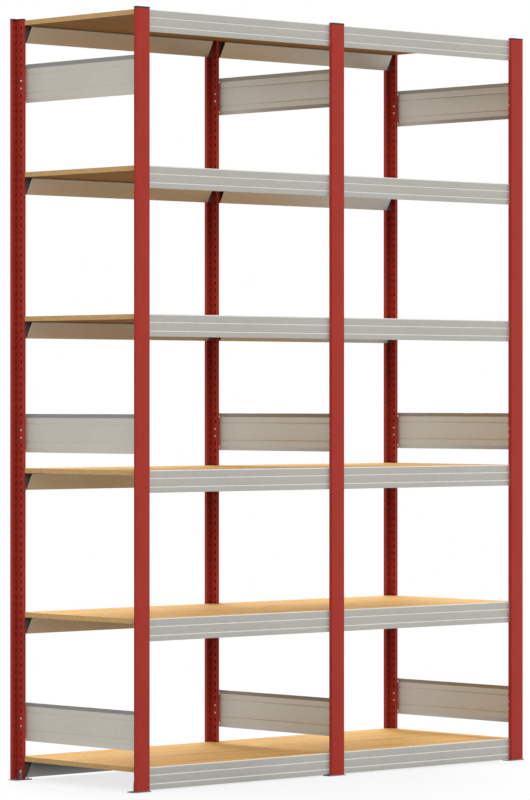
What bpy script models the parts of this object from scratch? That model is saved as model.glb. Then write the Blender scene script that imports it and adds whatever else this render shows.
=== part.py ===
"""Two-bay boltless wide span shelving unit.

Three end frames of slotted T-profile uprights and braced panels carry six
levels of hollow stepped beams, and each bay's beams hold loose notched decks.
Metres, +Z up. X runs along the bays, -Y is the front, and the origin is on
the floor under the middle of the unit.
"""
import math

import bmesh
import bpy
from mathutils import Matrix, Vector

# Layout of the whole unit
BAY_COUNT = 2
BAY_PITCH = 0.865
OVERALL_DEPTH = 0.632
FIRST_LEVEL_TOP = 0.075
LEVEL_SHARES = (0, 0.196, 0.392, 0.598, 0.794, 1)

# Running and touching clearances
SEAT_GAP = 0.0003
CUT_OVERRUN = 0.002

# Upright: a wide flange with short lips and a narrow hollow stem behind it
UPRIGHT_LENGTH = 2.500
FLANGE_WIDTH = 0.0565
FLANGE_LIP_DEPTH = 0.0125
STEM_WIDTH = 0.013
STEM_DEPTH = 0.037
UPRIGHT_WALL = 0.002
UPRIGHT_CHAMFER = 0.0012

# Punched rows in the stem, both on the same pitch up the upright
PUNCH_PITCH = 0.025
SLOT_HEIGHT = 0.013
SLOT_WIDTH = 0.005
SLOT_ROOT_OFFSET = 0.0005
HOOK_ROWS_BELOW_TOP = 1
FREE_SLOTS_ABOVE = 1
BOLT_HOLE_WIDTH = 0.0046
BOLT_HOLE_HEIGHT = 0.008
BOLT_ROW_DEPTH = 0.0315

# Beam: ribbed outer face set back behind the flange, deck ledge and sloping inner web
BEAM_SETBACK = 0.011
BEAM_HEIGHT = 0.0722
BEAM_WALL = 0.0015
BEAM_LIP_THICKNESS = 0.003
BEAM_LEDGE_HEIGHT = 0.0556
BEAM_BEVEL_HEIGHT = 0.003
BEAM_BEVEL_DEPTH = 0.0015
BEAM_LEDGE_DEPTH = 0.033
BEAM_NOSE_HEIGHT = 0.005
BEAM_FOOT_DEPTH = 0.005
BEAM_RIB_HEIGHTS = (0.0193, 0.0472)
BEAM_RIB_WIDTH = 0.005
BEAM_RIB_DEPTH = 0.0014
BEAM_CORNER = 0.001

# End bracket of a beam: an angle round the flange lip with two hooks
BRACKET_THICKNESS = 0.0018
BRACKET_INSERT = 0.018
HOOK_COUNT = 2
HOOK_NECK_HEIGHT = 0.0085
HOOK_DROP = 0.004
HOOK_THICKNESS = 0.002
HOOK_SIDE_CLEARANCE = 0.0005

# Deck board, loose on the ledges and notched round the uprights
DECK_THICKNESS = 0.0163
DECK_SIDE_CLEARANCE = 0.001
DECK_END_CLEARANCE = 0.001
DECK_NOTCH_CLEARANCE = 0.003

# Brace panel of an end frame: over the first and third shelf and under the top one
LOW_BRACE_LEVELS = (0, 2)
BRACE_RISE = 0.052
BRACE_TOP_DROP = 0.147
BRACE_HEIGHT = 0.126
BRACE_SHEET = 0.0012
BRACE_LOWER_EDGE = 0.048
BRACE_LIP_HEIGHT = 0.013
BRACE_LIP_REACH = 0.006
BRACE_BEAD_INSET = 0.033
BRACE_BEAD_HEIGHT = 0.004
BRACE_BEAD_DEPTH = 0.0012
BRACE_LAP = 0.013
BRACE_LIP_SETBACK = 0.002

# Bolts through the stem
BOLT_SHANK = 0.0038
BOLT_HEAD_RADIUS = 0.005
BOLT_HEAD_HEIGHT = 0.003
HEX_SIDES = 6
SQUARE_SIDES = 4

# Foot plate with an upstand beside the stem and a floor anchor
FOOT_THICKNESS = 0.003
FOOT_WIDTH = 0.0725
FOOT_DEPTH = 0.038
FOOT_TAB_HEIGHT = 0.035
FOOT_TAB_THICKNESS = 0.002
FOOT_TAB_LENGTH = 0.019
FOOT_TAB_CORNER = 0.005
FOOT_BOLT_ROW = 1
ANCHOR_SIDE = 0.020
ANCHOR_DEPTH = 0.025
ANCHOR_HEAD_RADIUS = 0.0062
ANCHOR_HEAD_HEIGHT = 0.0055
ANCHOR_STUD_RADIUS = 0.0035
ANCHOR_STUD_HEIGHT = 0.004

# Cap on the top end of an upright
CAP_HEIGHT = 0.005
CAP_OVERHANG = 0.0008
CAP_CHAMFER = 0.001
CAP_SEAT = 0.0005

# Places worked out from the sizes above
FOOT_TOP = FOOT_THICKNESS
UPRIGHT_BASE = FOOT_TOP + SEAT_GAP
FRAME_PLACES = [(i - BAY_COUNT / 2) * BAY_PITCH for i in range(BAY_COUNT + 1)]
FRAME_NAMES = ("left", "middle", "right")
BAY_NAMES = ("left_bay", "right_bay")
STEM_SIDE = STEM_WIDTH / 2
STEM_INNER = STEM_SIDE - UPRIGHT_WALL
FLANGE_SIDE = FLANGE_WIDTH / 2
UPRIGHT_TOP = UPRIGHT_BASE + UPRIGHT_LENGTH
BEAM_LENGTH = BAY_PITCH - FLANGE_WIDTH - 2 * SEAT_GAP
BRACKET_SIDE = STEM_SIDE + SEAT_GAP
BRACKET_FACE = FLANGE_LIP_DEPTH + SEAT_GAP

STEEL_RED = (0.36, 0.045, 0.030, 1.0)
ZINC_GREY = (0.50, 0.50, 0.47, 1.0)
CHIPBOARD = (0.62, 0.36, 0.15, 1.0)
PLASTIC_BLACK = (0.012, 0.012, 0.016, 1.0)
FOOT_GREY = (0.22, 0.22, 0.21, 1.0)


def clear_scene():
    for item in list(bpy.data.objects):
        bpy.data.objects.remove(item, do_unlink=True)


def finish_of(name, color, roughness, metallic):
    """A plain surface finish for one piece."""
    material = bpy.data.materials.new(name + "_finish")
    material.use_nodes = True
    shader = material.node_tree.nodes["Principled BSDF"]
    shader.inputs["Base Color"].default_value = color
    shader.inputs["Roughness"].default_value = roughness
    shader.inputs["Metallic"].default_value = metallic
    material.diffuse_color = color
    return material


PAINTED = (STEEL_RED, 0.45, 0.0)
GALVANISED = (ZINC_GREY, 0.42, 0.9)
BOARD = (CHIPBOARD, 0.6, 0.0)
PLASTIC = (PLASTIC_BLACK, 0.5, 0.0)
BASE_STEEL = (FOOT_GREY, 0.45, 0.8)


def add_object(name, mesh, finishes=(), location=(0, 0, 0), turned=False):
    """Puts a mesh in the scene; turned pieces face the other way in Y."""
    while len(mesh.materials) < len(finishes):
        mesh.materials.append(None)
    item = bpy.data.objects.new(name, mesh)
    bpy.context.scene.collection.objects.link(item)
    item.location = location
    item.rotation_euler = (0, 0, math.pi if turned else 0)
    for slot, finish in zip(item.material_slots, finishes):
        slot.link = "OBJECT"
        slot.material = finish_of(name, *finish)
    return item


def section_mesh(name, loops, start, end, axes):
    """Extrudes closed loops of (u, v) points from start to end.

    The first loop is the outline and any others are holes in it. axes names
    the world axes of u, v and the length, such as "YZX".
    """
    order = ["XYZ".index(letter) for letter in axes]

    def place(u, v, w):
        point = [0.0, 0.0, 0.0]
        for axis, value in zip(order, (u, v, w)):
            point[axis] = value
        return point

    shape = bmesh.new()
    edges = []
    for loop in loops:
        corners = [shape.verts.new(place(u, v, start)) for u, v in loop]
        for here, there in zip(corners, corners[1:] + corners[:1]):
            edges.append(shape.edges.new((here, there)))
    if len(loops) == 1:
        shape.faces.new(list(shape.verts))
    else:
        bmesh.ops.triangle_fill(shape, use_beauty=True, edges=edges)
    grown = bmesh.ops.extrude_face_region(shape, geom=list(shape.faces))
    lifted = [part for part in grown["geom"] if isinstance(part, bmesh.types.BMVert)]
    bmesh.ops.translate(shape, verts=lifted, vec=Vector(place(0, 0, end - start)))
    bmesh.ops.recalc_face_normals(shape, faces=list(shape.faces))
    mesh = bpy.data.meshes.new(name)
    shape.to_mesh(mesh)
    shape.free()
    return mesh


def box_loop(low_u, high_u, low_v, high_v):
    return [(low_u, low_v), (high_u, low_v), (high_u, high_v), (low_u, high_v)]


def box_mesh(name, low, high):
    """A block from its low corner to its high corner."""
    loop = box_loop(low[0], high[0], low[1], high[1])
    return section_mesh(name, [loop], low[2], high[2], "XYZ")


def ring_loop(center_u, center_v, radius, sides):
    turn = 2 * math.pi / sides
    return [(center_u + radius * math.cos(turn * (i + 0.5)),
             center_v + radius * math.sin(turn * (i + 0.5))) for i in range(sides)]


def joined(name, meshes):
    """One mesh that holds several separate solids, each with its own matrix."""
    shape = bmesh.new()
    for mesh, matrix in meshes:
        before = len(shape.verts)
        shape.from_mesh(mesh)
        shape.verts.ensure_lookup_table()
        bmesh.ops.transform(shape, matrix=matrix, verts=shape.verts[before:])
    result = bpy.data.meshes.new(name)
    shape.to_mesh(result)
    shape.free()
    return result


def combine(name, base, steps):
    """Runs Boolean steps of (operation, mesh) on a base mesh."""
    work = add_object(name + "_work", base)
    tools = []
    for operation, mesh in steps:
        tool = add_object(name + "_tool", mesh)
        tool.hide_render = True
        tool.display_type = "WIRE"
        change = work.modifiers.new(operation.lower(), "BOOLEAN")
        change.operation = operation
        change.solver = "EXACT"
        change.object = tool
        tools.append(tool)
    graph = bpy.context.evaluated_depsgraph_get()
    result = bpy.data.meshes.new_from_object(work.evaluated_get(graph))
    result.name = name
    for item in [work] + tools:
        bpy.data.objects.remove(item, do_unlink=True)
    return result


def punch_height(row):
    """Height above the floor of one place on the punched pitch."""
    return UPRIGHT_BASE + row * PUNCH_PITCH


def level_row(share):
    """The punched place level with a beam's top, the nearest that has room for the beam."""
    wanted = FIRST_LEVEL_TOP + share * (UPRIGHT_LENGTH - FIRST_LEVEL_TOP)
    lowest = math.ceil(BEAM_HEIGHT / PUNCH_PITCH)
    highest = round(UPRIGHT_LENGTH / PUNCH_PITCH)
    return min(max(round(wanted / PUNCH_PITCH), lowest), highest)


def level_tops():
    """Top of each level's beams, low enough for the highest to clear the caps."""
    below_cap = CAP_SEAT + SEAT_GAP
    return [punch_height(level_row(share)) - below_cap for share in LEVEL_SHARES]


def hook_rows(top):
    """The punched places that a beam with its top here hooks into."""
    highest = round((top - UPRIGHT_BASE) / PUNCH_PITCH) - HOOK_ROWS_BELOW_TOP
    return [highest - i for i in range(HOOK_COUNT)]


def slot_rows():
    """The places punched for hooks, with the free ones next above each beam."""
    last = math.floor((UPRIGHT_LENGTH - SLOT_HEIGHT) / PUNCH_PITCH)
    rows = set()
    for top in level_tops():
        rows.update(hook_rows(top))
        rows.update(max(hook_rows(top)) + 1 + i for i in range(FREE_SLOTS_ABOVE))
    return sorted(row for row in rows if row <= last)


def upright_outline():
    """T section, from the flange's outer face at zero inwards."""
    c = UPRIGHT_CHAMFER
    right = [
        (FLANGE_SIDE - c, 0),
        (FLANGE_SIDE, c),
        (FLANGE_SIDE, FLANGE_LIP_DEPTH),
        (FLANGE_SIDE - UPRIGHT_WALL, FLANGE_LIP_DEPTH),
        (FLANGE_SIDE - UPRIGHT_WALL, UPRIGHT_WALL),
        (STEM_SIDE, UPRIGHT_WALL),
        (STEM_SIDE, STEM_DEPTH - c),
        (STEM_SIDE - c, STEM_DEPTH),
    ]
    return right + [(-x, y) for x, y in reversed(right)]


def brace_rows():
    """The punched place of each brace's lower bolts, from the lowest brace up."""
    tops = level_tops()
    bottoms = [tops[level] + BRACE_RISE for level in LOW_BRACE_LEVELS]
    bottoms.append(tops[-1] - BRACE_TOP_DROP - BRACE_HEIGHT)
    return [round((z + BRACE_LOWER_EDGE - UPRIGHT_BASE) / PUNCH_PITCH) for z in bottoms]


def upright_mesh():
    """Punched T profile with its cap pushed on; the cap's faces use slot 1."""
    bore = box_loop(-STEM_INNER, STEM_INNER, UPRIGHT_WALL, STEM_DEPTH - UPRIGHT_WALL)
    profile = section_mesh("upright", [upright_outline(), bore], UPRIGHT_BASE, UPRIGHT_TOP, "XYZ")
    slot_start = UPRIGHT_WALL + SLOT_ROOT_OFFSET
    reach = STEM_SIDE + CUT_OVERRUN
    cutters = []
    for row in slot_rows():
        middle = punch_height(row)
        low = (-reach, slot_start, middle - SLOT_HEIGHT / 2)
        high = (reach, slot_start + SLOT_WIDTH, middle + SLOT_HEIGHT / 2)
        cutters.append(box_mesh("slot", low, high))
    bolt_rows = [FOOT_BOLT_ROW]
    for row in brace_rows():
        bolt_rows += [row, row + 1]
    for row in bolt_rows:
        middle = punch_height(row)
        low = (-reach, BOLT_ROW_DEPTH - BOLT_HOLE_WIDTH / 2, middle - BOLT_HOLE_HEIGHT / 2)
        high = (reach, BOLT_ROW_DEPTH + BOLT_HOLE_WIDTH / 2, middle + BOLT_HOLE_HEIGHT / 2)
        cutters.append(box_mesh("bolt_hole", low, high))
    punches = joined("punches", [(mesh, Matrix()) for mesh in cutters])
    mesh = combine("upright", profile, [("DIFFERENCE", punches), ("UNION", cap_mesh())])
    for face in mesh.polygons:
        lowest = min(mesh.vertices[i].co.z for i in face.vertices)
        face.material_index = int(lowest > UPRIGHT_TOP - CAP_SEAT - SEAT_GAP)
    return mesh


def set_back(loop):
    """Moves a section of the beam behind the flange's outer face."""
    return [(depth + BEAM_SETBACK, height) for depth, height in loop]


def beam_outline():
    """Stepped hollow section as (depth inwards, height), outer face first."""
    c = BEAM_CORNER
    half = BEAM_RIB_WIDTH / 2
    face = [(BEAM_FOOT_DEPTH, 0), (c, 0), (0, c)]
    for middle in BEAM_RIB_HEIGHTS:
        face += [(0, middle - half), (BEAM_RIB_DEPTH, middle), (0, middle + half)]
    nose_low = BEAM_LEDGE_HEIGHT - BEAM_NOSE_HEIGHT
    step = [
        (0, BEAM_HEIGHT - BEAM_BEVEL_HEIGHT),
        (BEAM_BEVEL_DEPTH, BEAM_HEIGHT),
        (BEAM_LIP_THICKNESS, BEAM_HEIGHT),
        (BEAM_LIP_THICKNESS, BEAM_LEDGE_HEIGHT),
        (BEAM_LEDGE_DEPTH, BEAM_LEDGE_HEIGHT),
        (BEAM_LEDGE_DEPTH, nose_low),
    ]
    return set_back(face + step)


def beam_bore():
    """The hollow of the section, one sheet thickness inside its outline."""
    nose_low = BEAM_LEDGE_HEIGHT - BEAM_NOSE_HEIGHT
    slope = (BEAM_LEDGE_DEPTH - BEAM_FOOT_DEPTH) / nose_low
    web_wall = BEAM_WALL * math.hypot(1, slope)
    top = BEAM_LEDGE_HEIGHT - BEAM_WALL
    nose = BEAM_LEDGE_DEPTH - BEAM_WALL
    bend = min((nose - BEAM_FOOT_DEPTH + web_wall) / slope, top - BEAM_CORNER)
    half = BEAM_RIB_WIDTH / 2
    face = [(BEAM_WALL, BEAM_WALL)]
    for middle in BEAM_RIB_HEIGHTS:
        face += [(BEAM_WALL, middle - half), (BEAM_WALL + BEAM_RIB_DEPTH, middle)]
        face += [(BEAM_WALL, middle + half)]
    web = [(BEAM_FOOT_DEPTH + slope * z - web_wall, z) for z in (bend, BEAM_WALL)]
    return set_back(face + [(BEAM_WALL, top), (nose, top)] + web)


def bracket_mesh(end_side, top):
    """Angle bracket with hooks at one end of a beam; end_side is -1 or 1."""
    frame = end_side * BAY_PITCH / 2

    def at(offset):
        """X at this distance from the frame's middle, towards the beam."""
        return frame - end_side * offset

    bottom = BEAM_WALL / 2
    height = BEAM_LEDGE_HEIGHT - BEAM_WALL / 2
    inserted = FLANGE_SIDE + SEAT_GAP + BRACKET_INSERT
    slot_start = UPRIGHT_WALL + SLOT_ROOT_OFFSET
    angle = [
        (at(BRACKET_SIDE), slot_start),
        (at(BRACKET_SIDE + BRACKET_THICKNESS), slot_start),
        (at(BRACKET_SIDE + BRACKET_THICKNESS), BRACKET_FACE),
        (at(inserted), BRACKET_FACE),
        (at(inserted), BRACKET_FACE + BRACKET_THICKNESS),
        (at(BRACKET_SIDE), BRACKET_FACE + BRACKET_THICKNESS),
    ]
    plate = section_mesh("bracket", [angle], bottom, height, "XYZ")
    inside = STEM_INNER - SEAT_GAP
    hooks = []
    for row in hook_rows(top):
        middle = punch_height(row) - (top - BEAM_HEIGHT)
        neck_low = middle - SLOT_HEIGHT / 2 + SEAT_GAP
        neck_high = neck_low + HOOK_NECK_HEIGHT
        root = BRACKET_SIDE + BRACKET_THICKNESS / 2
        claw = [
            (at(root), neck_low),
            (at(root), neck_high),
            (at(inside - HOOK_THICKNESS), neck_high),
            (at(inside - HOOK_THICKNESS), neck_low - HOOK_DROP),
            (at(inside), neck_low - HOOK_DROP),
            (at(inside), neck_low),
        ]
        low = slot_start + HOOK_SIDE_CLEARANCE
        high = slot_start + SLOT_WIDTH - HOOK_SIDE_CLEARANCE
        hooks.append(section_mesh("hook", [claw], low, high, "XZY"))
    claws = joined("hooks", [(mesh, Matrix()) for mesh in hooks])
    return combine("bracket", plate, [("UNION", claws)])


def beam_mesh(top):
    """A beam with its two brackets, its bottom at zero height."""
    half = BEAM_LENGTH / 2
    tube = section_mesh("beam", [beam_outline(), beam_bore()], -half, half, "YZX")
    ends = [("UNION", bracket_mesh(side, top)) for side in (-1, 1)]
    return combine("beam", tube, ends)


def deck_mesh():
    """A board notched at its corners round the stems, its underside at zero."""
    half_x = BAY_PITCH / 2 - DECK_END_CLEARANCE
    half_y = OVERALL_DEPTH / 2 - BEAM_SETBACK - BEAM_LIP_THICKNESS - DECK_SIDE_CLEARANCE
    notch_x = BAY_PITCH / 2 - STEM_SIDE - DECK_NOTCH_CLEARANCE
    notch_y = OVERALL_DEPTH / 2 - STEM_DEPTH - DECK_NOTCH_CLEARANCE
    corner = [(half_x, notch_y), (notch_x, notch_y), (notch_x, half_y)]
    outline = corner + [(-x, y) for x, y in reversed(corner)]
    outline += [(-x, -y) for x, y in corner]
    outline += [(x, -y) for x, y in reversed(corner)]
    return section_mesh("deck", [outline], 0, DECK_THICKNESS, "XYZ")


def brace_outline():
    """Bent sheet as (sideways, height), its back on the stem's side."""
    half = BRACE_BEAD_HEIGHT / 2
    back = [(-BRACE_LIP_REACH, 0), (0, BRACE_LIP_HEIGHT)]
    for middle in (BRACE_BEAD_INSET, BRACE_HEIGHT - BRACE_BEAD_INSET):
        back += [(0, middle - half), (BRACE_BEAD_DEPTH, middle), (0, middle + half)]
    back += [(0, BRACE_HEIGHT - BRACE_LIP_HEIGHT), (-BRACE_LIP_REACH, BRACE_HEIGHT)]
    return back + [(x + BRACE_SHEET, z) for x, z in reversed(back)]


def bolt_mesh(head_face, nut_face):
    """Hexagon bolt and square nut along X, between the faces that they bear on."""
    half = BOLT_SHANK / 2
    head = section_mesh("bolt", [ring_loop(0, 0, BOLT_HEAD_RADIUS, HEX_SIDES)],
                        head_face - BOLT_HEAD_HEIGHT, head_face, "YZX")
    nut = section_mesh("nut", [ring_loop(0, 0, BOLT_HEAD_RADIUS, SQUARE_SIDES)],
                       nut_face, nut_face + BOLT_HEAD_HEIGHT, "YZX")
    shank = section_mesh("shank", [box_loop(-half, half, -half, half)],
                         head_face - BOLT_HEAD_HEIGHT / 2, nut_face + BOLT_HEAD_HEIGHT / 2, "YZX")
    return combine("bolt", head, [("UNION", shank), ("UNION", nut)])


def brace_mesh():
    """Panel between two stems with a flat lap and two bolts at each end."""
    inner = OVERALL_DEPTH / 2 - STEM_DEPTH
    end = inner + BRACE_LAP
    panel = section_mesh("brace", [brace_outline()], -end, end, "XZY")
    lip_end = inner - BRACE_LIP_SETBACK
    side = BRACE_LIP_REACH + BRACE_SHEET + CUT_OVERRUN
    flat_low = BRACE_LIP_HEIGHT + BRACE_LIP_SETBACK
    flat_high = BRACE_HEIGHT - flat_low
    bolt = bolt_mesh(-STEM_WIDTH - 2 * SEAT_GAP, BRACE_SHEET / 2)
    bolt_y = OVERALL_DEPTH / 2 - BOLT_ROW_DEPTH
    cutters = []
    bolts = []
    for sign in (-1, 1):
        near, far = sorted((sign * lip_end, sign * (end + CUT_OVERRUN)))
        cutters.append(box_mesh("notch", (-side, near, -CUT_OVERRUN), (side, far, flat_low)))
        cutters.append(box_mesh("notch", (-side, near, flat_high),
                                (side, far, BRACE_HEIGHT + CUT_OVERRUN)))
        for step in range(2):
            height = BRACE_LOWER_EDGE + step * PUNCH_PITCH
            bolts.append((bolt, Matrix.Translation((0, sign * bolt_y, height))))
    cuts = joined("brace_cuts", [(mesh, Matrix()) for mesh in cutters])
    return combine("brace", panel, [("DIFFERENCE", cuts), ("UNION", joined("bolts", bolts))])


def foot_mesh(hand):
    """Base plate with its upstand, the bolt through the stem and the anchor's head.

    hand is 1 for a front foot and -1 for its mirror image at the rear.
    """
    plate_loop = box_loop(-FOOT_WIDTH / 2, FOOT_WIDTH / 2, 0, FOOT_DEPTH)
    plate = section_mesh("foot", [plate_loop], 0, FOOT_THICKNESS, "XYZ")
    near = STEM_SIDE + SEAT_GAP
    far = near + FOOT_TAB_THICKNESS
    tab_start = FOOT_DEPTH - FOOT_TAB_LENGTH
    tab_outline = [
        (tab_start, FOOT_THICKNESS / 2),
        (FOOT_DEPTH, FOOT_THICKNESS / 2),
        (FOOT_DEPTH, FOOT_TAB_HEIGHT - FOOT_TAB_CORNER),
        (FOOT_DEPTH - FOOT_TAB_CORNER, FOOT_TAB_HEIGHT),
        (tab_start + FOOT_TAB_CORNER, FOOT_TAB_HEIGHT),
        (tab_start, FOOT_TAB_HEIGHT - FOOT_TAB_CORNER),
    ]
    tab = section_mesh("tab", [tab_outline], -far, -near, "YZX")
    head = section_mesh("anchor", [ring_loop(ANCHOR_SIDE, ANCHOR_DEPTH, ANCHOR_HEAD_RADIUS, HEX_SIDES)],
                        FOOT_THICKNESS / 2, FOOT_THICKNESS + ANCHOR_HEAD_HEIGHT, "XYZ")
    stud = section_mesh("stud", [ring_loop(ANCHOR_SIDE, ANCHOR_DEPTH, ANCHOR_STUD_RADIUS, HEX_SIDES)],
                        FOOT_THICKNESS, FOOT_THICKNESS + ANCHOR_HEAD_HEIGHT + ANCHOR_STUD_HEIGHT, "XYZ")
    place = Matrix.Translation((0, BOLT_ROW_DEPTH, punch_height(FOOT_BOLT_ROW)))
    bolt = joined("foot_bolt", [(bolt_mesh(-near - FOOT_TAB_THICKNESS / 2, near), place)])
    foot = combine("foot", plate, [("UNION", piece) for piece in (tab, head, stud, bolt)])
    if hand < 0:
        foot.transform(Matrix.Scale(-1, 4, Vector((1, 0, 0))))
        foot.flip_normals()
    return foot


def cap_mesh():
    """Cap for the top of an upright: a T-shaped lid with a chamfered top."""
    grow = CAP_OVERHANG
    right = [
        (FLANGE_SIDE + grow, -grow),
        (FLANGE_SIDE + grow, FLANGE_LIP_DEPTH + grow),
        (STEM_SIDE + grow, FLANGE_LIP_DEPTH + grow),
        (STEM_SIDE + grow, STEM_DEPTH + grow),
    ]
    outline = right + [(-x, y) for x, y in reversed(right)]
    shoulder = UPRIGHT_TOP + CAP_HEIGHT - CAP_CHAMFER
    lid = section_mesh("cap", [outline], UPRIGHT_TOP - CAP_SEAT, shoulder, "XYZ")
    shape = bmesh.new()
    shape.from_mesh(lid)
    top = max(shape.faces, key=lambda face: face.calc_center_median().z)
    bmesh.ops.inset_region(shape, faces=[top], thickness=CAP_CHAMFER, use_even_offset=True)
    bmesh.ops.translate(shape, verts=top.verts, vec=Vector((0, 0, CAP_CHAMFER)))
    shape.to_mesh(lid)
    shape.free()
    return lid


def corner_places(x):
    """The front and rear corner of a frame: name, place and whether it is turned."""
    half = OVERALL_DEPTH / 2
    return (("front", (x, -half, 0), False), ("rear", (x, half, 0), True))


def build_frames():
    upright = upright_mesh()
    feet = {"front": foot_mesh(1), "rear": foot_mesh(-1)}
    brace = brace_mesh()
    for name, x in zip(FRAME_NAMES, FRAME_PLACES):
        for side, place, turned in corner_places(x):
            add_object(f"upright_{name}_{side}", upright, (PAINTED, PLASTIC), place, turned)
            add_object(f"foot_plate_{name}_{side}", feet[side], (BASE_STEEL,), place, turned)
        for level, row in zip(("lower", "middle", "upper"), brace_rows()):
            place = (x + STEM_SIDE + SEAT_GAP, 0, punch_height(row) - BRACE_LOWER_EDGE)
            add_object(f"brace_{name}_{level}", brace, (GALVANISED,), place)


def build_shelves():
    deck = deck_mesh()
    for level, top in enumerate(level_tops(), start=1):
        beam = beam_mesh(top)
        bottom = top - BEAM_HEIGHT
        for bay, name in enumerate(BAY_NAMES):
            middle = (FRAME_PLACES[bay] + FRAME_PLACES[bay + 1]) / 2
            for side, (x, y, z), turned in corner_places(middle):
                add_object(f"{name}_beam_{level}_{side}", beam, (GALVANISED,), (x, y, bottom), turned)
            seat = bottom + BEAM_LEDGE_HEIGHT + SEAT_GAP
            add_object(f"{name}_deck_{level}", deck, (BOARD,), (middle, 0, seat))


def main():
    clear_scene()
    build_frames()
    build_shelves()


main()
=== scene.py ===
"""Finish of a two-bay wide span shelving unit: red punched uprights with black
caps, rolled zinc beams with hooked end brackets, bolted brace panels, chipboard
decks and zinc feet, on a white floor in soft studio light."""
import math

import bmesh
import bpy
from mathutils import Matrix, Vector


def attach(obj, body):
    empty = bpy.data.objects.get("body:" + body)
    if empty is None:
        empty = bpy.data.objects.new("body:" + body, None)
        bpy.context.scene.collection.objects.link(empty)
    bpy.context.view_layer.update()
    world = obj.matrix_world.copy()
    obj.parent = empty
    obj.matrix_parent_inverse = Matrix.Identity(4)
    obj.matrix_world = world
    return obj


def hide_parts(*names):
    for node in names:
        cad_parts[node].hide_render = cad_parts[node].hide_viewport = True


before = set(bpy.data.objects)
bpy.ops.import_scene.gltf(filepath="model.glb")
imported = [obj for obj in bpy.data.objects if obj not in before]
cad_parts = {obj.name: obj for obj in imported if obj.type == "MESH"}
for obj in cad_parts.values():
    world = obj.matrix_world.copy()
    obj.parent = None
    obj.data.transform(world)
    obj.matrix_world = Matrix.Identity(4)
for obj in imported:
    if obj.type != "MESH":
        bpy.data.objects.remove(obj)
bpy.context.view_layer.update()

# The whole unit, in metres like all sizes below
BAY_PITCH = 0.865
DEPTH = 0.632
HALF_DEPTH = DEPTH / 2
FRAMES = (("left", -BAY_PITCH), ("middle", 0.0), ("right", BAY_PITCH))
BAYS = (("left", -BAY_PITCH / 2), ("right", BAY_PITCH / 2))
FIT_GAP = 0.0003

# Feet, with the bend at the tab's foot as (outwards, upwards) steps
FOOT_HALF_WIDTH = 0.03625
FOOT_DEPTH = 0.038
FOOT_THICKNESS = 0.003
FOOT_CORNER = 0.003
TAB_START = 0.019
TAB_BOTTOM = 0.001
TAB_TOP = 0.035
TAB_CORNER = 0.006
TAB_THICKNESS = 0.002
TAB_FILLET = ((0, 0.0025), (0.0005, 0.0008), (0.0012, 0.0002), (0.0025, 0))

# Uprights
UPRIGHT_BASE = FOOT_THICKNESS + FIT_GAP
UPRIGHT_LENGTH = 2.5
UPRIGHT_TOP = UPRIGHT_BASE + UPRIGHT_LENGTH
SHEET = 0.002
FLANGE_HALF = 0.02825
FLANGE_BEND = 0.0011
LIP_DEPTH = 0.0125
STEM_HALF = 0.0065
STEM_DEPTH = 0.037
STEM_BEND_START = 0.0345
STEM_BEND = 0.0018
BESIDE_STEM = STEM_HALF + FIT_GAP
# Bounds of the stem's inner faces and hole rims that get a near-black painted shade
SHADE_INSIDE_HALF = STEM_HALF - 0.4 * SHEET
SHADE_INSIDE_START = 1.05 * SHEET
SHADE_INSIDE_END = STEM_DEPTH - 0.5 * SHEET

# Punching of the stem, one hook slot and one bolt hole at every pitch
PUNCH_PITCH = 0.025
PUNCH_COUNT = 99
PUNCH_CORNER = 0.0016
PUNCH_BORDER = 0.015
SLOT_DEPTH = 0.0050
SLOT_HALF_WIDTH = 0.0027
SLOT_HALF_HEIGHT = 0.0070
BOLT_DEPTH = 0.0315
HOLE_DEPTH = 0.0309
HOLE_HALF_WIDTH = 0.0026
HOLE_HALF_HEIGHT = 0.0058

# Caps
CAP_OVERHANG = 0.0008
CAP_SEAT = 0.0005
CAP_HEIGHT = 0.005
CAP_CORNER = 0.002
CAP_RIM = 0.001

# Levels and beams; a rib's upper points are measured from its middle
LEVEL_ROWS = (3, 22, 41, 61, 80, 100)
BELOW_CAP = 0.0008
LEVEL_TOPS = [UPRIGHT_BASE + row * PUNCH_PITCH - BELOW_CAP for row in LEVEL_ROWS]
BEAM_HALF_LENGTH = BAY_PITCH / 2 - FLANGE_HALF - FIT_GAP
BEAM_SETBACK = 0.011
BEAM_HEIGHT = 0.0722
BEAM_WALL = 0.0015
BEAM_FOOT = 0.005
BEAM_FOOT_INSIDE = 0.0041
BEAM_FOOT_BEND = 0.0015
BEAM_LIP = 0.003
BEAM_LIP_BEND = 0.0008
BEVEL_DEPTH = 0.0015
BEVEL_HEIGHT = 0.003
BEVEL_BEND = 0.0010
BEAM_LEDGE = 0.0556
LEDGE_DEPTH = 0.033
NOSE_HEIGHT = 0.005
NOSE_HEIGHT_INSIDE = 0.003
NOSE_BEND = 0.0022
BORE_BEND = 0.0008
RIB_HEIGHTS = (0.0193, 0.0472)
RIB_HALF = 0.0025
RIB_TOP = 0.0011
RIB_DEEPEST = 0.0007
RIB_DEPTH = 0.0020
RIB_DEPTH_INSIDE = 0.0018
RIB_START_BEND = 0.0006
RIB_BEND = 0.0003
# Up-facing rib slopes this close to the face get a lighter zinc as a painted highlight
RIB_HIGHLIGHT_DEPTH = 0.0035
RIB_HIGHLIGHT_SLOPE = 0.3

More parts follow.
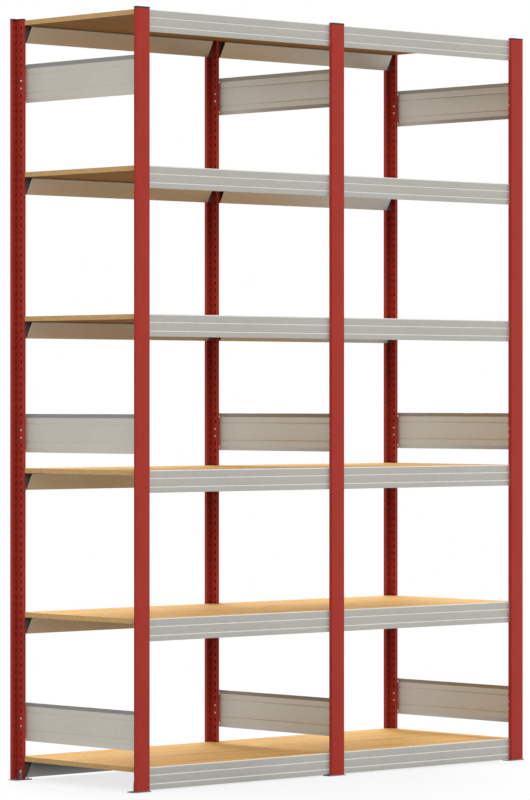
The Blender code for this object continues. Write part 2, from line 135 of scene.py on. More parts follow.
# End brackets and hooks, sideways from the frame's middle and inwards from its front
BRACKET_THICKNESS = 0.0018
BRACKET_BOTTOM = 0.0012
BRACKET_TOP = BEAM_LEDGE - 0.0010
BRACKET_FACE = LIP_DEPTH + FIT_GAP
BRACKET_CORNER = 0.002
PLATE_START = BESIDE_STEM + 0.004
PLATE_END = 0.0466
PLATE_HOLE_SIDE = 0.0185
PLATE_HOLE_HEIGHT = 0.0125
PLATE_HOLE_RADIUS = 0.0030
ANGLE_START = BRACKET_FACE - 0.0035
ANGLE_SIDE = BESIDE_STEM + 0.006
ANGLE_BEND = 0.0022
LEG_START = 0.0025
LEG_END = BRACKET_FACE - 0.003
LEG_CORNER = 0.0015
HOOK_ROOT = BESIDE_STEM + 0.001
HOOK_TIP = STEM_HALF - SHEET - FIT_GAP
HOOK_THICKNESS = 0.002
HOOK_START = 0.0030
HOOK_END = 0.0070
HOOK_BELOW_PUNCH = 0.0062
HOOK_NECK = 0.0085
HOOK_DROP = 0.004
HOOK_CORNER = 0.0008

# Decks
DECK_THICKNESS = 0.0163
DECK_SEAT = BEAM_LEDGE + FIT_GAP
DECK_GAP = 0.001
DECK_NOTCH_GAP = 0.003
DECK_EDGE = 0.0004

# Brace panels
BRACE_ROWS = (("lower", 7), ("middle", 45), ("upper", 91))
BRACE_HEIGHT = 0.126
BRACE_LOWER_EDGE = 0.048
BRACE_SHEET = 0.0012
BRACE_BEND = 0.0014
BRACE_LAP = 0.013
BRACE_LAP_EDGE = 0.0135
BRACE_LIP_REACH = 0.006
BRACE_LIP_HEIGHT = 0.013
BRACE_LIP_SETBACK = 0.002
# Height of the upper lip that gets a darker zinc as painted shade
LIP_SHADE_HEIGHT = 0.012
BEAD_INSET = 0.033
BEAD_HALF = 0.0025
BEAD_DEPTH = 0.0012

# Bolts, with shares of a hexagon's or thread's full size where one is narrower
HEAD_HEIGHT = 0.0026
HEAD_RADIUS = 0.0038
NUT_HEIGHT = 0.0022
NUT_RADIUS = 0.0042
WASHER_THICKNESS = 0.0006
WASHER_CROWN = 0.0001
WASHER_RADIUS = 0.0048
WASHER_RIM = 0.0003
SHANK_RADIUS = 0.0018
THREAD_RADIUS = 0.0017
THREAD_START = 0.0024
THREAD_END = 0.0030
THREAD_PITCH = 0.001
THREAD_ROOT_SHARE = 0.86
THREAD_TIP_SHARE = 0.80
HEX_SIDE_SHARE = 0.78
HEX_TOP_SHARE = 0.86

# Anchor, its washer and nut as (height, radius) profiles
ANCHOR_SIDE = 0.020
ANCHOR_DEPTH = 0.025
ANCHOR_WASHER = ((0.003, 0.0072), (0.0042, 0.0072), (0.0044, 0.0069))
ANCHOR_NUT = ((0.0042, 0.0060), (0.0077, 0.0060), (0.0085, 0.0052))
ANCHOR_THREAD = (0.0085, 0.0122)
ANCHOR_THREAD_RADIUS = 0.0034
SPARE_HOLE_RADIUS = 0.0045

# Limits for corners: how straight one may be, its share of a side, the sharpest mitre
STRAIGHT_WITHIN = 0.01
LARGEST_SHARE = 0.48
SHARPEST_MITRE = 0.2
MERGE_DISTANCE = 1e-6

# Colours that wear and dirt bring in
DUST_COLOR = (0.55, 0.52, 0.46, 1)
RUBBED_PAINT = (0.46, 0.12, 0.09, 1)
RUBBED_ZINC = (0.66, 0.66, 0.64, 1)
BOARD_BANDS = (0.80, 0.64, 0.46, 1)
DARK_FLAKES = (0.30, 0.13, 0.045, 1)
OPEN_PORES = (0.16, 0.075, 0.03, 1)

# Studio light; each broad light has its name, the way to it and its strength
HORIZON_LIGHT = 0.92
ZENITH_LIGHT = 1.12
LIGHT_FROM_RIGHT = 0.5
BROAD_LIGHTS = (("front_light", (-0.60, -0.76, 0.22), 1.1), ("back_light", (0.45, 0.60, 0.66), 1.6))
BROAD_LIGHT_ANGLE = 30

# Floor: where the unit's footprint ends, how the white fades in, what it throws back, with a painted shadow
# under the unit
FLOOR_SIZE = 40
FOOTPRINT_ALONG = (0.84, 0.94)
FOOTPRINT_ACROSS = (0.24, 0.33)
FADE_REACH = (0.8, 3.2)
FADE_START = 0.78
# Near black under the unit: a painted shadow for bounced and mirrored light
PAINTED_SHADOW_UNDER_UNIT = (0.03, 0.03, 0.03, 1)
BOUNCE_AROUND = (0.40, 0.40, 0.40, 1)

# Camera, its angles in degrees
CAMERA_LENS = 186.806
CAMERA_SENSOR = 36
CAMERA_PLACE = (-9.61431, -10.26080, 1.25547)
CAMERA_TILT = 90 - 0.01353
CAMERA_TURN = -43.02175


def punch_height(row):
    """Height above the floor of a punched place; rows count up from the upright's foot."""
    return UPRIGHT_BASE + row * PUNCH_PITCH


def put(tree, kind, inputs=None, **settings):
    """Adds a shader node; an input is a value or the socket that feeds it."""
    node = tree.nodes.new("ShaderNode" + kind)
    for name, value in settings.items():
        setattr(node, name, value)
    for name, value in (inputs or {}).items():
        socket = node.inputs[name]
        if isinstance(value, bpy.types.NodeSocket):
            tree.links.new(value, socket)
        else:
            socket.default_value = value
    return node


def maths(tree, operation, first, second, clamp=False):
    return put(tree, "Math", {0: first, 1: second}, operation=operation, use_clamp=clamp).outputs[0]


def blend_colors(tree, amount, low, high, mode="MIX"):
    node = put(tree, "Mix", {0: amount, 6: low, 7: high}, data_type="RGBA", blend_type=mode)
    return node.outputs[2]


def ramp(tree, value, low, high, to_low=0.0, to_high=1.0):
    node = put(tree, "MapRange", {"Value": value, "From Min": low, "From Max": high,
                                  "To Min": to_low, "To Max": to_high})
    return node.outputs[0]


def effect_group(name, inputs, outputs):
    """A node group with float inputs and named outputs, with nothing between them yet."""
    group = bpy.data.node_groups.new(name, "ShaderNodeTree")
    for label, value in inputs.items():
        socket = group.interface.new_socket(label, in_out="INPUT", socket_type="NodeSocketFloat")
        socket.default_value = value
    for label, kind in outputs.items():
        group.interface.new_socket(label, in_out="OUTPUT", socket_type="NodeSocket" + kind)
    return group, group.nodes.new("NodeGroupInput"), group.nodes.new("NodeGroupOutput")


def place_group(tree, group, **values):
    """Puts an effect in a material with its own values."""
    node = tree.nodes.new("ShaderNodeGroup")
    node.node_tree = group
    for name, value in values.items():
        node.inputs[name.replace("_", " ")].default_value = value
    return node


def piece_coords(tree, stretch=(1, 1, 1)):
    """Coordinates that stay with the piece when it moves."""
    coords = put(tree, "TexCoord").outputs["Object"]
    return put(tree, "Mapping", {"Vector": coords, "Scale": stretch}).outputs[0]


def make_mottle():
    """Slow unevenness of a finish, from 0 to 1."""
    group, given, result = effect_group("finish_mottle", {"Size": 0.1, "Detail": 3.0}, {"Mottle": "Float"})
    scale = maths(group, "DIVIDE", 1.0, given.outputs["Size"])
    cloud = put(group, "TexNoise", {"Vector": piece_coords(group), "Scale": scale,
                                    "Detail": given.outputs["Detail"], "Roughness": 0.55})
    group.links.new(ramp(group, cloud.outputs["Fac"], 0.3, 0.7), result.inputs["Mottle"])
    return group


def make_grain():
    """Fine unevenness for bumps and pores."""
    group, given, result = effect_group("fine_grain", {"Size": 0.001}, {"Grain": "Float"})
    scale = maths(group, "DIVIDE", 1.0, given.outputs["Size"])
    grain = put(group, "TexNoise", {"Vector": piece_coords(group), "Scale": scale, "Detail": 2.0})
    group.links.new(grain.outputs["Fac"], result.inputs["Grain"])
    return group


def make_scuffs():
    """Thin rub marks in patches, drawn out along a piece's X."""
    group, given, result = effect_group("handling_scuffs", {"Amount": 0.5, "Length": 0.06},
                                        {"Scuffs": "Float"})
    scale = maths(group, "DIVIDE", 1.0, given.outputs["Length"])
    lines = put(group, "TexNoise", {"Vector": piece_coords(group, (0.35, 6, 6)), "Scale": scale,
                                    "Detail": 5.0, "Roughness": 0.7})
    patches = put(group, "TexNoise", {"Vector": piece_coords(group), "Scale": 5.0, "Detail": 2.0})
    thin = ramp(group, lines.outputs["Fac"], 0.60, 0.68)
    where = ramp(group, patches.outputs["Fac"], 0.5, 0.62)
    marks = maths(group, "MULTIPLY", maths(group, "MULTIPLY", thin, where), given.outputs["Amount"], True)
    group.links.new(marks, result.inputs["Scuffs"])
    return group


def make_dust():
    """Thin settled dust on faces that look up."""
    group, given, result = effect_group("settled_dust", {"Amount": 0.3}, {"Dust": "Float"})
    normal = put(group, "NewGeometry").outputs["Normal"]
    height = put(group, "SeparateXYZ", {0: normal}).outputs["Z"]
    up = ramp(group, height, 0.35, 0.9)
    cloud = put(group, "TexNoise", {"Vector": piece_coords(group), "Scale": 14.0, "Detail": 6.0})
    drift = ramp(group, cloud.outputs["Fac"], 0.35, 0.75)
    dust = maths(group, "MULTIPLY", maths(group, "MULTIPLY", up, drift), given.outputs["Amount"], True)
    group.links.new(dust, result.inputs["Dust"])
    return group


MOTTLE = make_mottle()
GRAIN = make_grain()
SCUFFS = make_scuffs()
DUST = make_dust()


def start_material(name, **values):
    """A material with its Principled shader and the values that are even all over."""
    material = bpy.data.materials.new(name)
    material.use_nodes = True
    shader = material.node_tree.nodes["Principled BSDF"]
    for label, value in values.items():
        shader.inputs[label.replace("_", " ")].default_value = value
    return material, material.node_tree, shader


def add_bump(tree, shader, height, strength, distance):
    bump = put(tree, "Bump", {"Height": height, "Strength": strength, "Distance": distance})
    tree.links.new(bump.outputs[0], shader.inputs["Normal"])


def make_red_paint(name, low, high):
    """Red powder coat: slight orange peel, faint fading and a few rubs."""
    material, tree, shader = start_material(name, Metallic=0.0, Specular_IOR_Level=0.14)
    mottle = place_group(tree, MOTTLE, Size=0.18, Detail=4.0).outputs[0]
    color = blend_colors(tree, mottle, low, high)
    scuffs = place_group(tree, SCUFFS, Amount=0.35, Length=0.05).outputs[0]
    color = blend_colors(tree, scuffs, color, RUBBED_PAINT)
    dust = place_group(tree, DUST, Amount=0.25).outputs[0]
    tree.links.new(blend_colors(tree, dust, color, DUST_COLOR), shader.inputs["Base Color"])
    peel = place_group(tree, GRAIN, Size=0.0022).outputs[0]
    tree.links.new(ramp(tree, mottle, 0, 1, 0.50, 0.60), shader.inputs["Roughness"])
    add_bump(tree, shader, peel, 0.18, 0.0002)
    return material


def make_zinc_sheet(name, metallic, low, high):
    """Galvanised sheet: a soft spangle of crystals under a dull bloom."""
    material, tree, shader = start_material(name, Metallic=metallic)
    crystals = put(tree, "TexVoronoi", {"Vector": piece_coords(tree, (1, 1.6, 1.6)), "Scale": 130.0})
    spangle = put(tree, "SeparateColor", {0: crystals.outputs["Color"]}).outputs[0]
    mottle = place_group(tree, MOTTLE, Size=0.25, Detail=3.0).outputs[0]
    shade = maths(tree, "ADD", maths(tree, "MULTIPLY", spangle, 0.45), maths(tree, "MULTIPLY", mottle, 0.55))
    color = blend_colors(tree, shade, low, high)
    scuffs = place_group(tree, SCUFFS, Amount=0.3, Length=0.08).outputs[0]
    color = blend_colors(tree, scuffs, color, RUBBED_ZINC)
    dust = place_group(tree, DUST, Amount=0.2).outputs[0]
    tree.links.new(blend_colors(tree, dust, color, DUST_COLOR), shader.inputs["Base Color"])
    tree.links.new(ramp(tree, shade, 0, 1, 0.40, 0.55), shader.inputs["Roughness"])
    add_bump(tree, shader, place_group(tree, GRAIN, Size=0.0015).outputs[0], 0.08, 0.0002)
    return material


def make_plated_steel(name, low, high, roughness):
    """Bright plate on fasteners, or on feet a plate darkened as painted shade."""
    material, tree, shader = start_material(name, Metallic=0.85)
    mottle = place_group(tree, MOTTLE, Size=0.012, Detail=4.0).outputs[0]
    color = blend_colors(tree, mottle, low, high)
    dust = place_group(tree, DUST, Amount=0.25).outputs[0]
    tree.links.new(blend_colors(tree, dust, color, DUST_COLOR), shader.inputs["Base Color"])
    tree.links.new(ramp(tree, mottle, 0, 1, roughness, roughness + 0.12), shader.inputs["Roughness"])
    add_bump(tree, shader, place_group(tree, GRAIN, Size=0.0008).outputs[0], 0.12, 0.0001)
    return material


def make_board_face(name, low, high, smoothest, shine):
    """Chipboard face: fine flakes between two tans, broad bands and a few dark flakes."""
    material, tree, shader = start_material(name, Metallic=0.0, Specular_IOR_Level=shine)
    flakes = put(tree, "TexVoronoi", {"Vector": piece_coords(tree, (1.0, 0.45, 1)), "Scale": 420.0})
    flake = put(tree, "SeparateColor", {0: flakes.outputs["Color"]}).outputs[0]
    chips = put(tree, "TexVoronoi", {"Vector": piece_coords(tree, (0.5, 1.0, 1)), "Scale": 170.0})
    chip = put(tree, "SeparateColor", {0: chips.outputs["Color"]}).outputs[1]
    mottle = place_group(tree, MOTTLE, Size=0.12, Detail=5.0).outputs[0]
    shade = maths(tree, "ADD", maths(tree, "MULTIPLY", flake, 0.45), maths(tree, "MULTIPLY", chip, 0.30))
    shade = maths(tree, "ADD", shade, maths(tree, "MULTIPLY", mottle, 0.25))
    color = blend_colors(tree, shade, low, high)
    bands = put(tree, "TexNoise", {"Vector": piece_coords(tree, (0.8, 7, 1)), "Scale": 2.2, "Detail": 2.0})
    band = ramp(tree, bands.outputs["Fac"], 0.50, 0.64, 0.0, 0.6)
    color = blend_colors(tree, band, color, BOARD_BANDS, "MULTIPLY")
    dark = ramp(tree, flake, 0.90, 0.97)
    color = blend_colors(tree, maths(tree, "MULTIPLY", dark, 0.5), color, DARK_FLAKES)
    tree.links.new(color, shader.inputs["Base Color"])
    tree.links.new(ramp(tree, shade, 0, 1, smoothest, smoothest + 0.12), shader.inputs["Roughness"])
    add_bump(tree, shader, flakes.outputs["Distance"], 0.10, 0.0004)
    return material


def make_board_edge(name, low, high):
    """Sawn chipboard edge: coarse chips with open pores."""
    material, tree, shader = start_material(name, Metallic=0.0)
    chips = put(tree, "TexVoronoi", {"Vector": piece_coords(tree, (0.45, 0.45, 1.4)), "Scale": 380.0})
    chip = put(tree, "SeparateColor", {0: chips.outputs["Color"]}).outputs[0]
    pores = ramp(tree, place_group(tree, GRAIN, Size=0.003).outputs[0], 0.58, 0.66)
    color = blend_colors(tree, chip, low, high)
    color = blend_colors(tree, maths(tree, "MULTIPLY", pores, 0.6), color, OPEN_PORES)
    tree.links.new(color, shader.inputs["Base Color"])
    tree.links.new(ramp(tree, chip, 0, 1, 0.70, 0.85), shader.inputs["Roughness"])
    add_bump(tree, shader, maths(tree, "SUBTRACT", chip, pores), 0.35, 0.0006)
    return material


def make_black_plastic(name, low, high):
    """Moulded cap plastic with a fine spark-eroded grain."""
    material, tree, shader = start_material(name, Metallic=0.0)
    mottle = place_group(tree, MOTTLE, Size=0.01, Detail=3.0).outputs[0]
    color = blend_colors(tree, mottle, low, high)
    dust = place_group(tree, DUST, Amount=0.12).outputs[0]
    tree.links.new(blend_colors(tree, dust, color, DUST_COLOR), shader.inputs["Base Color"])
    tree.links.new(ramp(tree, mottle, 0, 1, 0.42, 0.55), shader.inputs["Roughness"])
    add_bump(tree, shader, place_group(tree, GRAIN, Size=0.0006).outputs[0], 0.25, 0.0001)
    return material


# Finishes, each between a darker and a lighter colour
RED_PAINT = make_red_paint("red_powder_coat", (0.330, 0.028, 0.018, 1), (0.370, 0.034, 0.022, 1))
# Near-black red inside the stem and on its hole rims: painted shade
STEM_INSIDE_PAINTED_SHADE = make_red_paint("stem_inside_painted_shade", (0.035, 0.006, 0.005, 1), (0.055, 0.009, 0.007, 1))
BEAM_ZINC = make_zinc_sheet("galvanised_beam_sheet", 0.7, (0.42, 0.413, 0.375, 1), (0.50, 0.493, 0.45, 1))
# Lighter zinc on the rib slopes that look up: painted highlight
RIB_PAINTED_HIGHLIGHT_ZINC = make_zinc_sheet("rib_painted_highlight_zinc", 0.3, (0.72, 0.715, 0.68, 1), (0.82, 0.815, 0.78, 1))
# Dark zinc in the beam's bore and on its brackets: painted shade
BORE_AND_BRACKET_PAINTED_SHADE = make_zinc_sheet("bore_and_bracket_painted_shade_zinc", 0.2, (0.12, 0.115, 0.10, 1), (0.17, 0.16, 0.14, 1))
BRACE_ZINC = make_zinc_sheet("galvanised_brace_sheet", 0.7, (0.485, 0.462, 0.405, 1), (0.565, 0.54, 0.477, 1))
# Darker zinc on the side of the brace's upper lip that faces -X: painted shade
LIP_PAINTED_SHADE_ZINC = make_zinc_sheet("lip_painted_shade_zinc", 0.4, (0.25, 0.245, 0.225, 1), (0.31, 0.305, 0.28, 1))
BOLT_PLATE = make_plated_steel("plated_bolts", (0.56, 0.48, 0.42, 1), (0.72, 0.64, 0.58, 1), 0.38)
# Zinc plate on the feet darkened to its look at floor level: painted shade
FOOT_ZINC_PAINTED_SHADE = make_plated_steel("foot_zinc_painted_shade", (0.20, 0.20, 0.19, 1), (0.32, 0.32, 0.30, 1), 0.38)
BOARD_FACE = make_board_face("chipboard_face", (0.79, 0.445, 0.122, 1), (0.94, 0.58, 0.185, 1), 0.60, 0.06)
# Dark chipboard on the deck's unsanded underside: painted shade
BOARD_BACK_PAINTED_SHADE = make_board_face("chipboard_back_painted_shade", (0.225, 0.128, 0.047, 1), (0.295, 0.174, 0.068, 1), 0.75, 0.05)
BOARD_EDGE = make_board_edge("chipboard_edge", (0.46, 0.27, 0.095, 1), (0.66, 0.42, 0.17, 1))
BLACK_PLASTIC = make_black_plastic("black_plastic", (0.012, 0.012, 0.015, 1), (0.022, 0.022, 0.026, 1))


def rounded(points, radius, steps=4, closed=True):
    """Rounds the corners of a polyline; radius is one value or one per corner."""
    count = len(points)
    radii = radius if isinstance(radius, (list, tuple)) else [radius] * count
    result = []
    for i, point in enumerate(points):
        here = Vector(point)
        inner = closed or 0 < i < count - 1
        if not inner or radii[i] <= 0:
            result.append(tuple(here))
            continue
        to_last = Vector(points[i - 1]) - here
        to_next = Vector(points[(i + 1) % count]) - here
        back = to_last.normalized()
        ahead = to_next.normalized()
        half_angle = back.angle(ahead) / 2
        if half_angle > math.pi / 2 - STRAIGHT_WITHIN:
            result.append(tuple(here))
            continue
        reach = radii[i] / math.tan(half_angle)
        reach = min(reach, LARGEST_SHARE * to_last.length, LARGEST_SHARE * to_next.length)
        real = reach * math.tan(half_angle)
        center = here + (back + ahead).normalized() * real / math.sin(half_angle)
        first = here + back * reach - center
        last = here + ahead * reach - center
        turn = first.angle_signed(last)
        for step in range(steps + 1):
            result.append(tuple(center + Matrix.Rotation(-turn * step / steps, 2) @ first))
    return result


def beside(points, distance):
    """An open polyline moved sideways by a distance, to its left."""
    normals = []
    for first, last in zip(points, points[1:]):
        side = (Vector(last) - Vector(first)).normalized()
        normals.append(Vector((-side.y, side.x)))
    result = []
    for i, point in enumerate(points):
        around = normals[max(i - 1, 0):i + 1]
        total = sum(around, Vector((0, 0))).normalized()
        moved = Vector(point) + total * distance / max(total.dot(around[0]), SHARPEST_MITRE)
        result.append(tuple(moved))
    return result


def sheet_outline(points, thickness, radius, steps=4):
    """Closed outline of a bent strip whose first side runs along the points."""
    inner = beside(points, thickness)
    return rounded(points, radius, steps, False) + rounded(inner, radius, steps, False)[::-1]


def add_section(shape, loops, start, end, axes):
    """Adds an extruded section to a bmesh; loops after the first are holes.

    axes names the two axes of the section and then the one that it runs along.
    """
    order = ["XYZ".index(letter) for letter in axes]

    def place(u, v, w):
        point = [0.0, 0.0, 0.0]
        for axis, value in zip(order, (u, v, w)):
            point[axis] = value
        return point

    rings = []
    for level in (start, end):
        rings.append([[shape.verts.new(place(u, v, level)) for u, v in loop] for loop in loops])
    made = []
    for low, high in zip(*rings):
        for i in range(len(low)):
            j = (i + 1) % len(low)
            made.append(shape.faces.new((low[i], low[j], high[j], high[i])))
    for ring in rings:
        if len(loops) == 1:
            made.append(shape.faces.new(ring[0]))
            continue
        edges = []
        for loop in ring:
            edges += [shape.edges.get(pair) for pair in zip(loop, loop[1:] + loop[:1])]
        filled = bmesh.ops.triangle_fill(shape, use_beauty=True, edges=edges)
        made += [part for part in filled["geom"] if isinstance(part, bmesh.types.BMFace)]
    bmesh.ops.recalc_face_normals(shape, faces=made)
    return made


def box_loop(low_u, high_u, low_v, high_v):
    return [(low_u, low_v), (high_u, low_v), (high_u, high_v), (low_u, high_v)]


def ring_loop(u, v, radius, sides):
    return [(u + radius * math.cos(2 * math.pi * i / sides),
             v + radius * math.sin(2 * math.pi * i / sides)) for i in range(sides)]


def add_turned(shape, profile, axis, center, sides):
    """Adds a turned piece: (along, radius) pairs round an axis through center."""
    along = "XYZ".index(axis)
    across = [i for i in range(3) if i != along]
    rings = []
    for distance, radius in profile:
        ring = []
        for i in range(sides):
            turn = 2 * math.pi * (i + 0.5) / sides
            point = list(center)
            point[along] += distance
            point[across[0]] += radius * math.cos(turn)
            point[across[1]] += radius * math.sin(turn)
            ring.append(shape.verts.new(point))
        rings.append(ring)
    made = [shape.faces.new(rings[0]), shape.faces.new(rings[-1])]
    for low, high in zip(rings, rings[1:]):
        for i in range(sides):
            j = (i + 1) % sides
            made.append(shape.faces.new((low[i], low[j], high[j], high[i])))
    bmesh.ops.recalc_face_normals(shape, faces=made)


def finished_mesh(name, shape, materials, sharp_degrees=32):
    """Turns a bmesh into a mesh with its finishes and smooth bends."""
    mesh = bpy.data.meshes.new(name)
    shape.to_mesh(mesh)
    shape.free()
    for material in materials:
        mesh.materials.append(material)
    mesh.shade_smooth()
    mesh.set_sharp_from_angle(angle=math.radians(sharp_degrees))
    return mesh


def stand(name, mesh, location, body="frame", turned=False, replaced=(), soften=0.0):
    """Puts a finished piece on its body, in place of the plain nodes it stands for."""
    item = bpy.data.objects.new(name, mesh)
    bpy.context.scene.collection.objects.link(item)
    item.location = location
    item.rotation_euler = (0, 0, math.pi if turned else 0)
    if soften:
        edge = item.modifiers.new("softened_edges", "BEVEL")
        edge.width = soften
        edge.segments = 2
        edge.limit_method = "ANGLE"
        edge.angle_limit = math.radians(40)
    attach(item, body)
    if replaced:
        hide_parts(*replaced)


def add_patch(shape, points):
    shape.faces.new([shape.verts.new(point) for point in points])


def stem_levels():
    """Heights halfway between the punched places, with the upright's two ends."""
    between = [punch_height(row) + PUNCH_PITCH / 2 for row in range(1, PUNCH_COUNT)]
    return [UPRIGHT_BASE] + between + [UPRIGHT_TOP]


def add_punched_cell(shape, outer, inner, border, hole):
    """Both faces of the stem's wall round one hole, and the rim between them."""
    rims = []
    for x in (outer, inner):
        edge = [shape.verts.new((x, y, z)) for y, z in border]
        rim = [shape.verts.new((x, y, z)) for y, z in hole]
        per_corner = len(rim) // 4
        for side in range(4):
            fan = rim[side * per_corner:(side + 1) * per_corner]
            shape.faces.new([edge[side]] + fan[::-1])
            following = rim[((side + 1) * per_corner) % len(rim)]
            shape.faces.new((edge[side], fan[-1], following, edge[(side + 1) % 4]))
        rims.append(rim)
    for i in range(len(hole)):
        j = (i + 1) % len(hole)
        shape.faces.new((rims[0][i], rims[0][j], rims[1][j], rims[1][i]))


def add_punched_wall(shape, outer, inner):
    """One side of the stem with its column of hook slots and its column of bolt holes.

    outer and inner are the x of the wall's two faces.
    """
    levels = stem_levels()
    slots = (SHEET, PUNCH_BORDER, SLOT_DEPTH, SLOT_HALF_WIDTH, SLOT_HALF_HEIGHT)
    bolt_holes = (PUNCH_BORDER, STEM_BEND_START, HOLE_DEPTH, HOLE_HALF_WIDTH, HOLE_HALF_HEIGHT)
    for start, end, middle, half_width, half_height in (slots, bolt_holes):
        for row, (low, high) in enumerate(zip(levels, levels[1:]), start=1):
            z = punch_height(row)
            hole = box_loop(middle - half_width, middle + half_width, z - half_height, z + half_height)
            add_punched_cell(shape, outer, inner, box_loop(start, end, low, high),
                             rounded(hole, PUNCH_CORNER, steps=2))
        for z in (UPRIGHT_BASE, UPRIGHT_TOP):
            add_patch(shape, [(outer, start, z), (outer, end, z), (inner, end, z), (inner, start, z)])
    for low, high in zip(levels, levels[1:]):
        add_patch(shape, [(outer, SHEET, low), (outer, SHEET, high),
                          (inner, SHEET, high), (inner, SHEET, low)])


def add_closed_end(shape):
    """The stem's closed inner end, cut at each pitch so that it joins the punched sides."""
    bend = [(STEM_HALF, STEM_BEND_START), (STEM_HALF, STEM_DEPTH),
            (-STEM_HALF, STEM_DEPTH), (-STEM_HALF, STEM_BEND_START)]
    outer = rounded(bend, STEM_BEND, closed=False)
    inner = rounded(beside(bend, SHEET), STEM_BEND, closed=False)
    levels = stem_levels()
    for line in (outer, inner):
        for first, last in zip(line, line[1:]):
            for low, high in zip(levels, levels[1:]):
                add_patch(shape, [(*first, low), (*last, low), (*last, high), (*first, high)])
    for z in (UPRIGHT_BASE, UPRIGHT_TOP):
        for i in range(len(outer) - 1):
            add_patch(shape, [(*outer[i], z), (*outer[i + 1], z), (*inner[i + 1], z), (*inner[i], z)])


def make_upright_mesh():
    """Rolled T: lipped flange, punched stem sides and a closed inner end.

    Inside the stem and on the rims of its holes the red carries a near-black painted shade.
    """
    shape = bmesh.new()
    flange = [(-FLANGE_HALF, LIP_DEPTH), (-FLANGE_HALF, 0), (FLANGE_HALF, 0), (FLANGE_HALF, LIP_DEPTH)]
    outline = sheet_outline(flange, SHEET, FLANGE_BEND, steps=5)
    add_section(shape, [outline], UPRIGHT_BASE, UPRIGHT_TOP, "XYZ")
    add_closed_end(shape)
    for sign in (-1, 1):
        add_punched_wall(shape, sign * STEM_HALF, sign * (STEM_HALF - SHEET))
    bmesh.ops.remove_doubles(shape, verts=shape.verts, dist=MERGE_DISTANCE)
    bmesh.ops.recalc_face_normals(shape, faces=shape.faces)
    for face in shape.faces:
        middle = face.calc_center_median()
        # Inner faces and hole rims of the stem get the painted shade
        if abs(middle.x) < SHADE_INSIDE_HALF and SHADE_INSIDE_START < middle.y < SHADE_INSIDE_END:
            face.material_index = 1
    return finished_mesh("punched_upright", shape, [RED_PAINT, STEM_INSIDE_PAINTED_SHADE])


def make_cap_mesh():
    """Push-on cap in the upright's T shape, with rounded corners."""
    shape = bmesh.new()
    grow = CAP_OVERHANG
    right = [(FLANGE_HALF + grow, -grow), (FLANGE_HALF + grow, LIP_DEPTH + grow),
             (STEM_HALF + grow, LIP_DEPTH + grow), (STEM_HALF + grow, STEM_DEPTH + grow)]
    outline = right + [(-x, y) for x, y in reversed(right)]
    add_section(shape, [rounded(outline, CAP_CORNER, steps=3)],
                UPRIGHT_TOP - CAP_SEAT, UPRIGHT_TOP + CAP_HEIGHT, "XYZ")
    return finished_mesh("upright_cap", shape, [BLACK_PLASTIC])


def set_back(loop):
    """Moves a section of the beam behind the flange's outer face."""
    return [(depth + BEAM_SETBACK, height) for depth, height in loop]


def beam_outline():
    """Outer line of the rolled beam as (depth, height) points, and the bend at each."""
    line = [(BEAM_FOOT, 0, BEAM_FOOT_BEND), (0, 0, BEAM_FOOT_BEND)]
    for middle in RIB_HEIGHTS:
        line += [(0, middle - RIB_HALF, RIB_START_BEND),
                 (RIB_DEPTH, middle + RIB_DEEPEST, RIB_BEND),
                 (0, middle + RIB_TOP, RIB_BEND)]
    line += [(0, BEAM_HEIGHT - BEVEL_HEIGHT, BEVEL_BEND),
             (BEVEL_DEPTH, BEAM_HEIGHT, BEAM_LIP_BEND),
             (BEAM_LIP, BEAM_HEIGHT, BEAM_LIP_BEND),
             (BEAM_LIP, BEAM_LEDGE, BEAM_LIP_BEND),
             (LEDGE_DEPTH, BEAM_LEDGE, NOSE_BEND),
             (LEDGE_DEPTH, BEAM_LEDGE - NOSE_HEIGHT, NOSE_BEND)]
    points = [(depth, height) for depth, height, bend in line]
    return set_back(points), [bend for depth, height, bend in line]


def beam_bore():
    """The hollow of the rolled beam as (depth, height) points."""
    face = [(BEAM_WALL, BEAM_WALL)]
    for middle in RIB_HEIGHTS:
        face += [(BEAM_WALL, middle - RIB_HALF),
                 (BEAM_WALL + RIB_DEPTH_INSIDE, middle + RIB_DEEPEST),
                 (BEAM_WALL, middle + RIB_HALF)]
    roof = BEAM_LEDGE - BEAM_WALL
    nose = LEDGE_DEPTH - BEAM_WALL
    return set_back(face + [(BEAM_WALL, roof), (nose, roof), (nose, roof - NOSE_HEIGHT_INSIDE),
                            (BEAM_FOOT_INSIDE, BEAM_WALL)])


